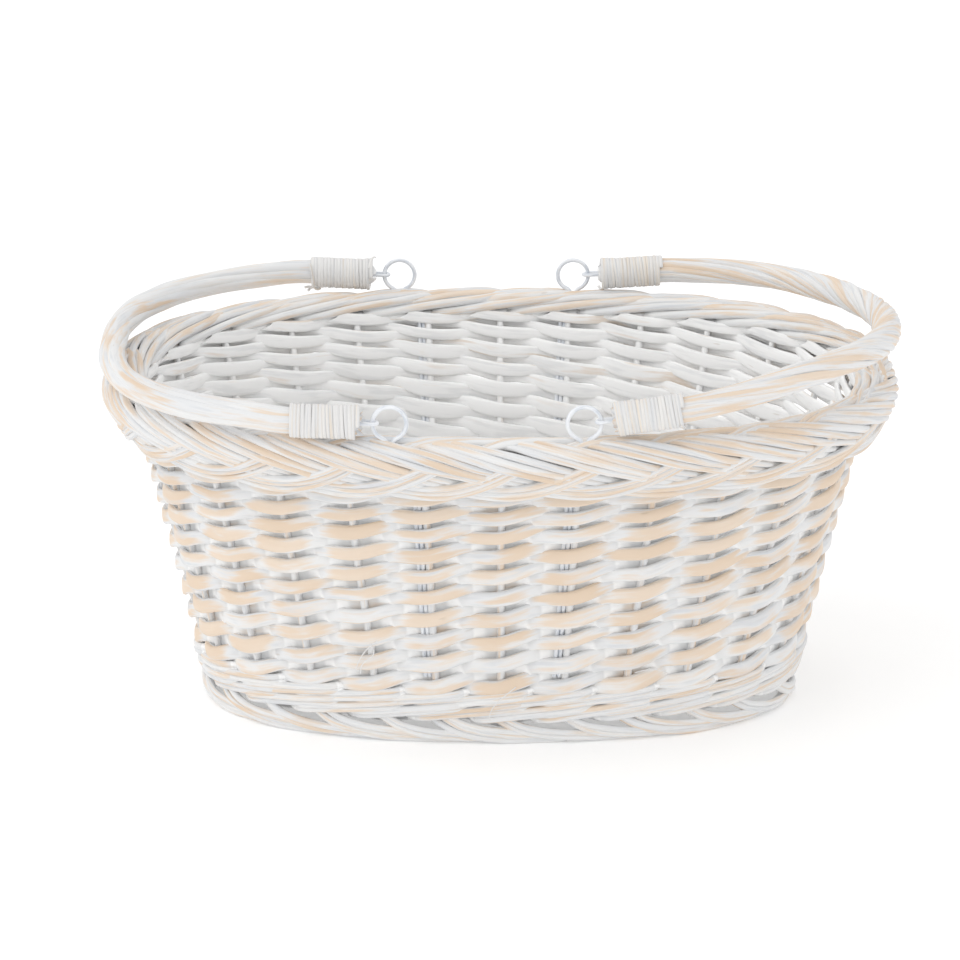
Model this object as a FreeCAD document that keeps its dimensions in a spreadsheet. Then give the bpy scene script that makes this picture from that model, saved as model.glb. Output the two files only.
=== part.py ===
import FreeCAD, Part
import math
import os
import Sketcher

# A woven willow market basket with two drop handles on wire rings.
# Frame: X along the length, Y across the width, +Z up, origin at the bottom centre.
# "Place" counts stakes round the oval, anticlockwise from the middle of the front.

Vector = FreeCAD.Vector
doc = FreeCAD.newDocument("market_basket")

# ---------------------------------------------------------------- driving dimensions (mm)

SIZES = {
    "stake_count": 26,
    "oval_power": 2.35,
    "ground_half_length": 163.0,
    "ground_half_width": 91.8,
    "flare_length": 0.2313,
    "flare_width": 0.297,
    "rod_gap": 0.8,
    "stake_diameter": 4.4,
    "stake_bend": 7.0,
    "stake_top": 174.0,
    "base_level": 12.5,
    "base_rod_diameter": 3.4,
    "base_rod_bend": 2.0,
    "base_rod_lift": 6.0,
    "base_rings": 12,
    "base_first_share": 0.1798,
    "base_share_step": 0.0598,
    "base_joint_share": 0.688,
    "base_joint_gap": 0.006,
    "spine_half_length": 78.0,
    "spine_half_width": 18.0,
    "spine_spacing": 9.0,
    "spine_lift": 4.9,
    "spine_lift_share": 0.8,
    "cross_stick_spread": 0.42,
    "stick_bend": 9.0,
    "foot_rod_diameter": 2.8,
    "foot_rod_run": 66.0,
    "foot_rod_height": 8.4,
    "foot_rod_head": 10.1,
    "foot_rod_inner": 1.4,
    "foot_rod_outer": 4.7,
    "foot_rod_bend": 15.0,
    "wale_rod_diameter": 3.9,
    "wale_first_level": 18.6,
    "wale_pitch": 8.8,
    "wale_flat": 4.0,
    "wale_passing": 2.5,
    "wale_bend": 8.0,
    "weaver_diameter": 6.0,
    "weaver_first_level": 34.4,
    "weaver_climb": 6.8,
    "weaver_strokes": 18,
    "weaver_flat": 6.0,
    "weaver_wide_flat": 9.5,
    "weaver_bend": 12.0,
    "plait_rod_diameter": 6.3,
    "plait_layer": 8.5,
    "plait_core_offset": 6.0,
    "plait_core_level": 181.2,
    "plait_core_bend": 2.9,
    "plait_depth": 26.0,
    "plait_slope": 25.0,
    "plait_lead": 0.5,
    "plait_lead_swing": 0.229,
    "plait_clear": 2.2,
    "plait_over": 5.1,
    "plait_edge_inset": 2.0,
    "plait_edge_drop": 0.6,
    "plait_bend": 12.0,
    "ring_bend": 9.2,
    "ring_neck": 2.6,
    "ring_wire_diameter": 2.2,
    "ring_level": 204.6,
    "ring_row": 155.3,
    "ring_left": -60.0,
    "ring_right": 44.5,
    "shank_gap": 2.9,
    "shank_to_stake": 5.4,
    "shank_neck_run": 1.5,
    "shank_top": 183.0,
    "shank_top_outward": 0.6,
    "shank_inside": 172.0,
    "shank_foot": 42.0,
    "shank_bend": 20.0,
    "eye_wire_diameter": 2.0,
    "eye_bend": 2.6,
    "eye_start": 9.2,
    "eye_end": 38.0,
    "handle_start": 16.0,
    "rise_left_front": 2.0,
    "rise_left_back": 2.0,
    "rise_right_front": 8.0,
    "rise_right_back": 3.0,
    "handle_rod_diameter": 4.2,
    "handle_rod_circle": 5.6,
    "handle_rod_bend": 30.0,
    "handle_core_diameter": 5.8,
    "handle_core_gap": 4.0,
    "bow_bend": 60.0,
    "binding_start": 17.0,
    "binding_length": 36.0,
    "binding_bore": 8.1,
    "binding_outside": 9.4,
    "binding_turns": 18,
    "binding_groove": 0.45,
}

sheet = doc.addObject("Spreadsheet::Sheet", "Sizes")
for row, (alias, value) in enumerate(SIZES.items(), start=1):
    sheet.set("A%d" % row, alias)
    sheet.set("B%d" % row, str(value))
    sheet.setAlias("B%d" % row, alias)
doc.recompute()


def size(alias):
    return float(sheet.get(alias))


STAKES = int(size("stake_count"))
HALF_ROUND = STAKES // 2
STAKE_RADIUS = size("stake_diameter") / 2
WEAVER_RADIUS = size("weaver_diameter") / 2
HANGER_STAKES = (STAKES - 1, 1, HALF_ROUND - 1, HALF_ROUND + 1)


# ---------------------------------------------------------------- the oval and its wall

def oval_table(samples=7200):
    """Shares of a full round and the angles that they fall at, for a mid-height oval."""
    length, width = half_sizes(100.0)
    angles = [-math.pi / 2 + 2 * math.pi * step / samples for step in range(samples + 1)]
    corners = [oval_corner(angle, length, width) for angle in angles]
    runs = [0.0]
    for before, after in zip(corners, corners[1:]):
        runs.append(runs[-1] + math.dist(before, after))
    return [run / runs[-1] for run in runs], angles, runs[-1]


def half_sizes(level):
    length = size("ground_half_length") + size("flare_length") * level
    width = size("ground_half_width") + size("flare_width") * level
    return length, width


def oval_corner(angle, length, width):
    power = 2 / size("oval_power")
    cosine, sine = math.cos(angle), math.sin(angle)
    return (length * math.copysign(abs(cosine) ** power, cosine),
            width * math.copysign(abs(sine) ** power, sine))


SHARES, ANGLES, MIDDLE_ROUND = oval_table()


def place_angle(place):
    share = (place / STAKES) % 1.0
    low, high = 0, len(SHARES) - 1
    while high - low > 1:
        middle = (low + high) // 2
        if SHARES[middle] <= share:
            low = middle
        else:
            high = middle
    inside = (share - SHARES[low]) / (SHARES[high] - SHARES[low])
    return ANGLES[low] + inside * (ANGLES[high] - ANGLES[low])


def wall_point(place, level, outward=0.0):
    """A point on the line of the stakes, moved outward by some millimetres."""
    length, width = half_sizes(level)
    x, y = oval_corner(place_angle(place), length, width)
    step = 0.05
    before = oval_corner(place_angle(place - step), length, width)
    after = oval_corner(place_angle(place + step), length, width)
    along = Vector(after[0] - before[0], after[1] - before[1], 0).normalize()
    return Vector(x + outward * along.y, y - outward * along.x, level)


def pitch(level):
    """Distance from one stake to the next, measured round the wall at a level."""
    length, width = half_sizes(level)
    middle_length, middle_width = half_sizes(100.0)
    return MIDDLE_ROUND / STAKES * (length + width) / (middle_length + middle_width)


# ---------------------------------------------------------------- rods and wires

# Corners flatter than this are left out, and an arc takes at most this share of the shorter run.
STRAIGHT = math.radians(0.3)
RUN_SHARE = 0.45

# Where a rod that goes right round starts and ends, as shares of its closing run.
ROUND_START = 0.49
ROUND_END = 0.41


def corner_arc(before, corner, after, radius):
    """The tangent arc that rounds a corner: its start, middle and end, or None if straight."""
    incoming = (corner - before).normalize()
    outgoing = (after - corner).normalize()
    turn = incoming.getAngle(outgoing)
    if turn < STRAIGHT:
        return None
    shorter = min(before.distanceToPoint(corner), corner.distanceToPoint(after))
    reach = min(radius * math.tan(turn / 2), RUN_SHARE * shorter)
    bend = reach / math.tan(turn / 2)
    inward = (outgoing - incoming).normalize()
    middle = corner + inward * (bend / math.cos(turn / 2) - bend)
    return corner - incoming * reach, middle, corner + outgoing * reach


def open_edges(points, radius):
    """Straight runs joined by tangent arcs through the points."""
    edges = []
    start = points[0]
    for before, corner, after in zip(points, points[1:], points[2:]):
        arc = corner_arc(before, corner, after, radius)
        if arc:
            edges.append(Part.LineSegment(start, arc[0]).toShape())
            edges.append(Part.Arc(*arc).toShape())
            start = arc[2]
    edges.append(Part.LineSegment(start, points[-1]).toShape())
    return edges


def pipe(edges, radius):
    wire = Part.Wire(edges)
    first = edges[0]
    direction = first.tangentAt(first.FirstParameter)
    section = Part.Wire(Part.Circle(first.valueAt(first.FirstParameter), direction, radius).toShape())
    solid = wire.makePipeShell([section], True, False)
    expected = math.pi * radius ** 2 * wire.Length
    if not solid.isValid() or abs(solid.Volume / expected - 1) > 0.01:
        raise ValueError("a rod's volume is not its section times its length")
    return solid


def rod(points, radius, bend):
    return pipe(open_edges(points, bend), radius)


def round_rod(points, radius, bend):
    """A rod that goes right round, with a short gap between its two cut ends."""
    closing = points[0] - points[-1]
    start = points[-1] + closing * ROUND_START
    end = points[-1] + closing * ROUND_END
    return pipe(open_edges([start] + list(points) + [end], bend), radius)


def add_feature(label, solids):
    """A sub-part whose own solids are the given rods."""
    feature = doc.addObject("Part::Feature", label)
    feature.Label = label
    feature.Shape = solids[0] if len(solids) == 1 else Part.makeCompound(solids)
    feature.Placement = FreeCAD.Placement()
    return feature


# ---------------------------------------------------------------- base

def end_stake(place):
    """Whether a stake stands on one of the two short ends, where the long sticks point."""
    from_end = abs(place % HALF_ROUND - HALF_ROUND / 2)
    return from_end < 2


def spine_row(place):
    """The row of the long stick, across the width, whose end meets an end stake."""
    order = place - (HALF_ROUND - 3) // 2 if place < HALF_ROUND else STAKES - (HALF_ROUND - 3) // 2 - place
    return (order - 1.5) * size("spine_spacing")


def base_inner(place):
    corner = wall_point(place, size("base_level"))
    if end_stake(place):
        side = math.copysign(1, corner.x)
        return Vector(side * size("spine_half_length"), spine_row(place), size("base_level"))
    row = math.copysign(size("spine_half_width"), corner.y)
    return Vector(size("cross_stick_spread") * corner.x, row, size("base_level"))


def base_point(place, share):
    inner = base_inner(place)
    return inner + (wall_point(place, size("base_level")) - inner) * share


def cross_sticks():
    share = size("base_joint_share") - size("base_joint_gap")
    sticks = []
    for place in range(-4, 5):
        front, back = place % STAKES, HALF_ROUND - place
        path = [base_point(front, share), base_inner(front), base_inner(back), base_point(back, share)]
        sticks.append(rod(path, STAKE_RADIUS, size("stick_bend")))
    return sticks


def long_sticks():
    share = size("base_joint_share") - size("base_joint_gap")
    lift = Vector(0, 0, size("spine_lift"))
    reach = size("spine_lift_share")
    sticks = []
    for right in range(5, 9):
        left = STAKES - right
        right_end, left_end = base_inner(right), base_inner(left)
        right_top = Vector(right_end.x * reach, right_end.y, right_end.z) + lift
        left_top = Vector(left_end.x * reach, left_end.y, left_end.z) + lift
        path = [base_point(left, share), left_end, left_top, right_top, right_end, base_point(right, share)]
        sticks.append(rod(path, STAKE_RADIUS, size("stick_bend")))
    return sticks


def base_weave():
    """Closed rounds of rod, each over and under every second stick or stake foot."""
    radius = size("base_rod_diameter") / 2
    rings = []
    for ring in range(int(size("base_rings"))):
        share = size("base_first_share") + ring * size("base_share_step")
        path = []
        for place in range(STAKES):
            above = 1 if (place + ring) % 2 else -1
            path.append(base_point(place, share) + Vector(0, 0, above * size("base_rod_lift")))
        rings.append(round_rod(path, radius, size("base_rod_bend")))
    return rings


# ---------------------------------------------------------------- stakes, foot and wale

def side_stakes():
    """Each stake starts in the base, bends up at its edge and stands in the wall."""
    stakes = []
    for place in range(STAKES):
        start = base_point(place, size("base_joint_share") + size("base_joint_gap"))
        path = [start, wall_point(place, size("base_level")), wall_point(place, size("stake_top"))]
        stakes.append(rod(path, STAKE_RADIUS, size("stake_bend")))
    return stakes


def foot_rods(runs=6):
    """Two rods beside each stake, laid down to the right until they reach the ground."""
    radius = size("foot_rod_diameter") / 2
    height = size("foot_rod_height")
    reach = size("foot_rod_run") / pitch(0.0)
    rods = []
    for place in range(STAKES):
        for outward in (size("foot_rod_inner"), size("foot_rod_outer")):
            path = [wall_point(place - 0.25, size("foot_rod_head"), outward)]
            for run in range(runs + 1):
                share = run / runs
                path.append(wall_point(place + share * reach, height - share * (height - radius), outward))
            rods.append(rod(path, radius, size("foot_rod_bend")))
    return rods


def wale_rod(row, first):
    """One of the two rods of a wale row: outside every second stake, inside the others."""
    radius = size("wale_rod_diameter") / 2
    level = size("wale_first_level") + row * size("wale_pitch")
    outward = STAKE_RADIUS + radius + size("rod_gap")
    flat, passing = size("wale_flat") / pitch(level), size("wale_passing") / pitch(level)
    cross = size("wale_pitch") / 4
    lean = 0.3 * outward
    path = []
    for place in range(STAKES):
        side = 1 if (place + first) % 2 == 0 else -1
        path.append(wall_point(place - flat, level, side * outward))
        path.append(wall_point(place + flat, level, side * outward))
        path.append(wall_point(place + 0.5 - passing, level + side * cross, side * lean))
        path.append(wall_point(place + 0.5 + passing, level + side * cross, -side * lean))
    return round_rod(path, radius, size("wale_bend"))


# ---------------------------------------------------------------- wall weavers

def weaver(first):
    """A rod that climbs one row every two stakes, behind one and in front of the next."""
    outward = STAKE_RADIUS + WEAVER_RADIUS + size("rod_gap")
    tail = 0.05
    path = []
    for stroke in range(int(size("weaver_strokes")) + 1):
        place = first + stroke
        level = size("weaver_first_level") + stroke * size("weaver_climb")
        side = 1 if stroke % 2 else -1
        reach = size("weaver_wide_flat") if place % STAKES in HANGER_STAKES else size("weaver_flat")
        flat = reach / pitch(level)
        for part in (-flat if stroke else -tail, flat):
            path.append(wall_point(place + part, level + part * size("weaver_climb"), side * outward))
    return rod(path, WEAVER_RADIUS, size("weaver_bend"))


# ---------------------------------------------------------------- plaited border

def plait_point(place, depth, layer):
    """A point in the border: depth down the outside from the ridge, in layer 0 or layer 1."""
    bend = size("plait_core_bend") + size("plait_layer") * layer
    mean_bend = size("plait_core_bend") + size("plait_layer") / 2
    angle = min(depth / mean_bend, math.pi / 2)
    fallen = max(0.0, depth - mean_bend * math.pi / 2)
    outward = size("plait_core_offset") + bend * math.sin(angle) - 0.1 * fallen * layer
    level = size("plait_core_level") + bend * math.cos(angle) - fallen
    return wall_point(place, level, outward)


def plait_strand(stake):
    """Over the ridge, down to the right, round the lower edge and up under the next strands."""
    depth = size("plait_depth")
    run = 1 / math.tan(math.radians(size("plait_slope")))
    step = pitch(size("plait_core_level"))
    crossing = step / run / 4
    turn_width = 1.5 * step - run * depth
    lower, upper = depth / 2 + crossing, depth / 2 - crossing
    clear, over = size("plait_clear"), size("plait_over")
    inset, edge_depth = size("plait_edge_inset"), depth + size("plait_edge_drop")

    def falling(fall, layer):
        return fall * run, fall, layer

    def rising(fall, layer):
        return (2 * depth - fall) * run + turn_width, fall, layer

    down = [falling(-over, 1.0), falling(-over / 2, 1.0), falling(0.0, 1.0), falling(upper / 3, 1.0),
            falling(upper * 2 / 3, 1.0), falling(upper, 1.0), falling(upper + clear * 1.5, 1.0),
            falling(lower - clear, 0.0), falling(depth - inset, 0.0)]
    edge = [(depth * run + inset, edge_depth, 0.15), (depth * run + turn_width - inset, edge_depth, 0.85)]
    rise = [rising(depth - inset, 1.0), rising(lower - clear, 1.0), rising(upper + clear / 2, 0.0),
            rising(upper - 0.3, 0.0)]
    lead = size("plait_lead") - size("plait_lead_swing") * math.cos(2 * math.pi * stake / STAKES)
    path = []
    for along, fall, layer in down + edge + rise:
        path.append(plait_point(stake + lead + along / step, fall, layer))
    return rod(path, size("plait_rod_diameter") / 2, size("plait_bend"))


# ---------------------------------------------------------------- ring hangers

def hanger(ring_x, stake, side, mirrored):
    """A wire bent to a ring, with its two ends run down beside a stake inside the weave."""
    bend, level = size("ring_bend"), size("ring_level")
    neck, half_gap = size("ring_neck"), size("shank_gap") / 2
    row = size("ring_row")
    centre = Vector(ring_x, -row, level)
    neck_x = half_gap + neck
    neck_drop = math.sqrt((bend + neck) ** 2 - neck_x ** 2)
    lean = math.asin(neck_x / (bend + neck))
    neck_level = level - neck_drop

    def shank(sign):
        top = Vector(ring_x + sign * half_gap, -row, neck_level)
        path = [top, top - Vector(0, 0, size("shank_neck_run"))]
        for end, outward in (("top", size("shank_top_outward")), ("inside", 0.0), ("foot", 0.0)):
            height = size("shank_" + end)
            along = (side * size("shank_to_stake") + sign * half_gap) / pitch(height)
            path.append(wall_point(stake + along, height, outward))
        return path

    def neck_arc(sign):
        middle_angle = lean / 2 + math.pi / 4
        hub = Vector(ring_x + sign * neck_x, -row, neck_level)
        ring_touch = centre + Vector(sign * math.sin(lean), 0, -math.cos(lean)) * bend
        middle = hub + Vector(-sign * math.sin(middle_angle), 0, math.cos(middle_angle)) * neck
        return Vector(ring_x + sign * half_gap, -row, neck_level), middle, ring_touch

    left, right = neck_arc(-1), neck_arc(1)
    ring_arc = Part.Arc(left[2], centre + Vector(0, 0, bend), right[2]).toShape()
    rising = open_edges(list(reversed(shank(-1))), size("shank_bend"))
    falling = open_edges(shank(1), size("shank_bend"))
    edges = rising + [Part.Arc(*left).toShape(), ring_arc, Part.Arc(*reversed(right)).toShape()] + falling
    solid = pipe(edges, size("ring_wire_diameter") / 2)
    return solid.mirror(Vector(0, 0, 0), Vector(0, 1, 0)) if mirrored else solid


# ---------------------------------------------------------------- handles

# Middle line of each bow, from its back ring to its front ring: x, y and height above the rings.
# The right bow was roped by hand and stands a little twisted, higher along its front arm.
BOWS = {
    "left": ((-132, 151, 2.4), (-163, 137, 2.0), (-191, 112, 1.8), (-210, 76, 1.6), (-219, 38, 1.6),
             (-220, 0, 1.6), (-218, -38, 1.6), (-209, -76, 1.6), (-190, -110, 1.8), (-162, -134, 2.0),
             (-131, -149, 2.4)),
    "right": ((134, 152, 3.5), (162, 136, 5.0), (188, 107, 6.5), (207, 68, 8.5), (218, 28, 11.0),
              (219, -14, 14.0), (212, -56, 17.0), (194, -94, 19.5), (167, -122, 18.5), (139, -140, 13.5)),
}


def end_placement(handle, end):
    """Local X along a bound end, away from its ring, with the ring's centre as origin."""
    ring_x = size("ring_" + handle)
    side = 1 if end == "back" else -1
    turn = FreeCAD.Rotation(Vector(0, 0, 1), 0 if ring_x > 0 else 180)
    rise = FreeCAD.Rotation(Vector(0, 1, 0), -size("rise_%s_%s" % (handle, end)))
    centre = Vector(ring_x, side * size("ring_row"), size("ring_level"))
    return FreeCAD.Placement(centre, turn.multiply(rise))


def bow_points(handle):
    """Straight bound ends that point at the two rings, and the bow between them."""
    reaches = (size("handle_start"), size("binding_start") + size("binding_length") + 5)
    back = [end_placement(handle, "back").multVec(Vector(reach, 0, 0)) for reach in reaches]
    front = [end_placement(handle, "front").multVec(Vector(reach, 0, 0)) for reach in reaches]
    middle = [Vector(x, y, size("ring_level") + rise) for x, y, rise in BOWS[handle]]
    return back + middle + list(reversed(front))


def bow_stations(handle, spacing=8.0):
    """Evenly spaced points along the bow, with the directions up and across at each."""
    points = bow_points(handle)
    bow = Part.Wire(open_edges(points[1:-1], size("bow_bend")))
    inner = bow.discretize(Number=int(bow.Length / spacing))
    stations = []
    line = [points[0]] + [Vector(*point) for point in inner] + [points[-1]]
    for index, point in enumerate(line):
        along = (line[min(index + 1, len(line) - 1)] - line[max(index - 1, 0)]).normalize()
        across = Vector(0, 0, 1).cross(along).normalize()
        stations.append((point, along.cross(across), across))
    return stations


def handle_core(handle):
    """The middle rod, which starts just past the ends of the eye wires."""
    stations = [point for point, up, across in bow_stations(handle)]
    start = Vector(size("eye_end") + size("handle_core_gap"), 0, 0)
    path = [end_placement(handle, "back").multVec(start)] + stations[1:-1]
    path.append(end_placement(handle, "front").multVec(start))
    return rod(path, size("handle_core_diameter") / 2, size("bow_bend"))


def handle_rods(handle, turns):
    """Six rods round the core, straight inside the bindings and twisted between them."""
    stations = bow_stations(handle)
    circle = size("handle_rod_circle")
    last = len(stations) - 2
    rods = []
    for number in range(6):
        path = []
        for index, (point, up, across) in enumerate(stations):
            share = min(max((index - 1) / (last - 1), 0.0), 1.0)
            angle = math.radians(30 + 60 * number) + 2 * math.pi * turns * share
            path.append(point + across * (circle * math.cos(angle)) + up * (circle * math.sin(angle)))
        rods.append(rod(path, size("handle_rod_diameter") / 2, size("handle_rod_bend")))
    return rods


def handle_eye():
    """A wire loop through a ring, with both ends inside the bound rods; local X outward."""
    bend, start, end = size("eye_bend"), size("eye_start"), size("eye_end")
    bow = Part.Arc(Vector(start, bend, 0), Vector(start - bend, 0, 0), Vector(start, -bend, 0)).toShape()
    back = Part.LineSegment(Vector(end, bend, 0), Vector(start, bend, 0)).toShape()
    forth = Part.LineSegment(Vector(start, -bend, 0), Vector(end, -bend, 0)).toShape()
    return pipe([back, bow, forth], size("eye_wire_diameter") / 2)


def origin_plane(body, role):
    return [part for part in body.Origin.OriginFeatures if part.Role == role][0]


def add_sketch(body, name, corners, links):
    """A closed outline on the body's XZ plane, whose corners are held by spreadsheet formulas."""
    sketch = body.newObject("Sketcher::SketchObject", name)
    sketch.AttachmentSupport = [(origin_plane(body, "XZ_Plane"), "")]
    sketch.MapMode = "FlatFace"
    count = len(corners)
    for number, start in enumerate(corners):
        end = corners[(number + 1) % count]
        sketch.addGeometry(Part.LineSegment(Vector(*start, 0), Vector(*end, 0)), False)
    for number in range(count):
        sketch.addConstraint(Sketcher.Constraint("Coincident", number, 2, (number + 1) % count, 1))
    for number, (corner, formulas) in enumerate(zip(corners, links)):
        for kind, value, formula in zip(("DistanceX", "DistanceY"), corner, formulas):
            index = sketch.addConstraint(Sketcher.Constraint(kind, -1, 1, number, 1, value))
            sketch.setExpression("Constraints[%d]" % index, formula)
    return sketch


def add_turned(body, kind, name, sketch):
    """A full turn of a sketch round the body's X axis, added or cut away."""
    feature = body.newObject("PartDesign::" + kind, name)
    feature.Profile = sketch
    feature.ReferenceAxis = (origin_plane(body, "X_Axis"), [""])
    feature.Angle = 360
    doc.recompute()
    return feature


def add_binding(label, placement):
    """The split-cane binding of one bound end: a sleeve with a groove between its turns."""
    start, length = size("binding_start"), size("binding_length")
    bore, outside, groove = size("binding_bore"), size("binding_outside"), size("binding_groove")
    first = start + length / size("binding_turns")
    begin, end = "Sizes.binding_start", "Sizes.binding_start + Sizes.binding_length"
    notch_at = "Sizes.binding_start + Sizes.binding_length / Sizes.binding_turns"
    body = doc.addObject("PartDesign::Body", label)
    body.Label = label
    stop = start + length
    profile = add_sketch(body, label + "_profile",
                         [(start, bore), (stop, bore), (stop, outside), (start, outside)],
                         [(begin, "Sizes.binding_bore"), (end, "Sizes.binding_bore"),
                          (end, "Sizes.binding_outside"), (begin, "Sizes.binding_outside")])
    add_turned(body, "Revolution", label + "_sleeve", profile)
    clear = outside + 0.1
    notch = add_sketch(body, label + "_notch",
                       [(first - groove, clear), (first, outside - groove), (first + groove, clear)],
                       [(notch_at + " - Sizes.binding_groove", "Sizes.binding_outside + 0.1"),
                        (notch_at, "Sizes.binding_outside - Sizes.binding_groove"),
                        (notch_at + " + Sizes.binding_groove", "Sizes.binding_outside + 0.1")])
    cut = add_turned(body, "Groove", label + "_groove", notch)
    rows = body.newObject("PartDesign::LinearPattern", label + "_turns")
    rows.Originals = [cut]
    rows.Direction = (origin_plane(body, "X_Axis"), [""])
    rows.setExpression("Length", "Sizes.binding_length * (1 - 2 / Sizes.binding_turns)")
    rows.setExpression("Occurrences", "Sizes.binding_turns - 1")
    body.Tip = rows
    doc.recompute()
    body.Placement = placement
    return body


# ---------------------------------------------------------------- the document

nodes = [
    add_feature("base_cross_sticks", cross_sticks()),
    add_feature("base_long_sticks", long_sticks()),
    add_feature("base_weave_rods", base_weave()),
    add_feature("side_stakes", side_stakes()),
    add_feature("foot_border_rods", foot_rods()),
]
for row, name in enumerate(("lower", "upper")):
    for first in range(2):
        nodes.append(add_feature("%s_wale_rod_%d" % (name, first + 1), [wale_rod(row, first)]))
for number in range(STAKES):
    nodes.append(add_feature("wall_weaver_%02d" % (number + 1), [weaver(number)]))
nodes.append(add_feature("border_plait_strands", [plait_strand(stake) for stake in range(STAKES)]))

# Each handle with the stake beside its ring wires, the side of that stake and its turns of twist.
for handle, stake, side, turns in (("left", -1, -1, 0.5), ("right", 1, -1, 3.5)):
    ring_x = size("ring_" + handle)
    nodes.append(add_feature("ring_hanger_%s_front" % handle, [hanger(ring_x, stake, side, False)]))
    nodes.append(add_feature("ring_hanger_%s_back" % handle, [hanger(ring_x, stake, side, True)]))
    nodes.append(add_feature("handle_%s_core_rod" % handle, [handle_core(handle)]))
    nodes.append(add_feature("handle_%s_twisted_rods" % handle, handle_rods(handle, turns)))
    for end in ("front", "back"):
        placement = end_placement(handle, end)
        eye = add_feature("handle_%s_eye_%s" % (handle, end), [handle_eye()])
        eye.Placement = placement
        nodes.append(eye)
        nodes.append(add_binding("handle_%s_binding_%s" % (handle, end), placement))

doc.recompute()

# ---------------------------------------------------------------- check and write

for item in doc.Objects:
    if "Invalid" in item.State or "Error" in item.State:
        raise ValueError("%s did not recompute" % item.Label)
os.makedirs("parts", exist_ok=True)
for node in nodes:
    if node.Shape.isNull() or not node.Shape.isValid():
        raise ValueError("%s has no valid shape" % node.Label)
    node.Shape.exportStep("parts/%s.step" % node.Label)
    print("%-28s %3d solids %10.0f mm3" % (node.Label, len(node.Shape.Solids), node.Shape.Volume))
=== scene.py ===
"""The looks of a whitewashed willow market basket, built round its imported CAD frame.

Lengths are in millimetres and turn into metres when a mesh is made. A place counts stakes round the
oval, anticlockwise from the middle of the front, as in the CAD part; a level is a height above the
ground, and outward is a distance out of the line of the stakes.
"""

import math

import bpy
import numpy as np
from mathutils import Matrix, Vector


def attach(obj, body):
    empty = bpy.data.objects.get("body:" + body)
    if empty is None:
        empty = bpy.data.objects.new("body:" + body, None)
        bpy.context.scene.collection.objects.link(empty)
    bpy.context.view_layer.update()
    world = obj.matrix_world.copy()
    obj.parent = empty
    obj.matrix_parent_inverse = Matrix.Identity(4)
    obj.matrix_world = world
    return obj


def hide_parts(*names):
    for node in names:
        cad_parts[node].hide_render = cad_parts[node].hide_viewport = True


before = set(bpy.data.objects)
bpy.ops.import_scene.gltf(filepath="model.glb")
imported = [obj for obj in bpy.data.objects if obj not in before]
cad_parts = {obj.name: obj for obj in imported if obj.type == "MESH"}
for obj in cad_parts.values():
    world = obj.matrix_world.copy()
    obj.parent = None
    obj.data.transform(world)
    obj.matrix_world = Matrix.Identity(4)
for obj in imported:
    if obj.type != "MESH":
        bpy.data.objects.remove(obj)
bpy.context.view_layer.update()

MM = 0.001
TAU = 2 * math.pi
UP = np.array([0.0, 0.0, 1.0])
HANDLES = ("left", "right")

# Where each piece's random draws start. The wires, bindings and eyes add their own number.
SEED_STICKS, SEED_BASE_WEAVE, SEED_STAKES, SEED_FOOT, SEED_WALE, SEED_RIM = 11, 12, 21, 22, 23, 31
SEED_RINGS, SEED_BOWS, SEED_BINDINGS, SEED_EYES, SEED_WEAVERS = 41, 51, 61, 71, 100

# ---------------------------------------------------------------- the oval and its wall

STAKES = 26
HALF_ROUND = STAKES // 2
STAKE_RADIUS = 2.2
OVAL_POWER = 2 / 2.35
OVAL_SAMPLES = 7201
# Half the oval's length and width on the ground, and what each gains per millimetre of height.
HALF_LENGTH, LENGTH_FLARE = 163.0, 0.2313
HALF_WIDTH, WIDTH_FLARE = 91.8, 0.297
# Stakes are evenly spaced round the oval at this level.
MIDDLE_LEVEL = 100.0
NUDGE = 0.05


def half_sizes(level):
    return HALF_LENGTH + LENGTH_FLARE * level, HALF_WIDTH + WIDTH_FLARE * level


def oval(angle, length, width):
    cosine, sine = np.cos(angle), np.sin(angle)
    return (length * np.sign(cosine) * np.abs(cosine) ** OVAL_POWER,
            width * np.sign(sine) * np.abs(sine) ** OVAL_POWER)


def measured_oval():
    """Angles round the oval, the place at each, and the distance all round."""
    angles = np.linspace(-math.pi / 2, 1.5 * math.pi, OVAL_SAMPLES)
    x, y = oval(angles, *half_sizes(MIDDLE_LEVEL))
    run = np.concatenate([[0.0], np.cumsum(np.hypot(np.diff(x), np.diff(y)))])
    return angles, run / run[-1] * STAKES, run[-1]


ANGLES, PLACES, MIDDLE_ROUND = measured_oval()


def oval_at(place, level):
    return oval(np.interp(place % STAKES, PLACES, ANGLES), *half_sizes(level))


def unit(vectors):
    return vectors / np.linalg.norm(vectors, axis=-1, keepdims=True)


def outward_at(place, level):
    """The level direction straight out of the wall."""
    x0, y0 = oval_at(place - NUDGE, level)
    x1, y1 = oval_at(place + NUDGE, level)
    return unit(np.stack([y1 - y0, x0 - x1, np.zeros_like(x0)], -1))


def wall(place, level, outward=0.0):
    """Points on the line of the stakes, moved outward."""
    place, level, outward = np.broadcast_arrays(np.asarray(place, float), level, outward)
    x, y = oval_at(place, level)
    return np.stack([x, y, level], -1) + outward_at(place, level) * outward[..., None]


def pitch(level):
    """Millimetres from one stake to the next."""
    return MIDDLE_ROUND / STAKES * sum(half_sizes(level)) / sum(half_sizes(MIDDLE_LEVEL))


# ---------------------------------------------------------------- lines

ARC_STEPS = 7
STRAIGHT_ENOUGH = 0.01
SAME_POINT = 1e-6


def eased(share):
    return share * share * (3 - 2 * share)


def ramp(value, low, high):
    """From 0 at low to 1 at high, with a soft start and end."""
    return eased(np.clip((value - low) / (high - low), 0, 1))


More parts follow.
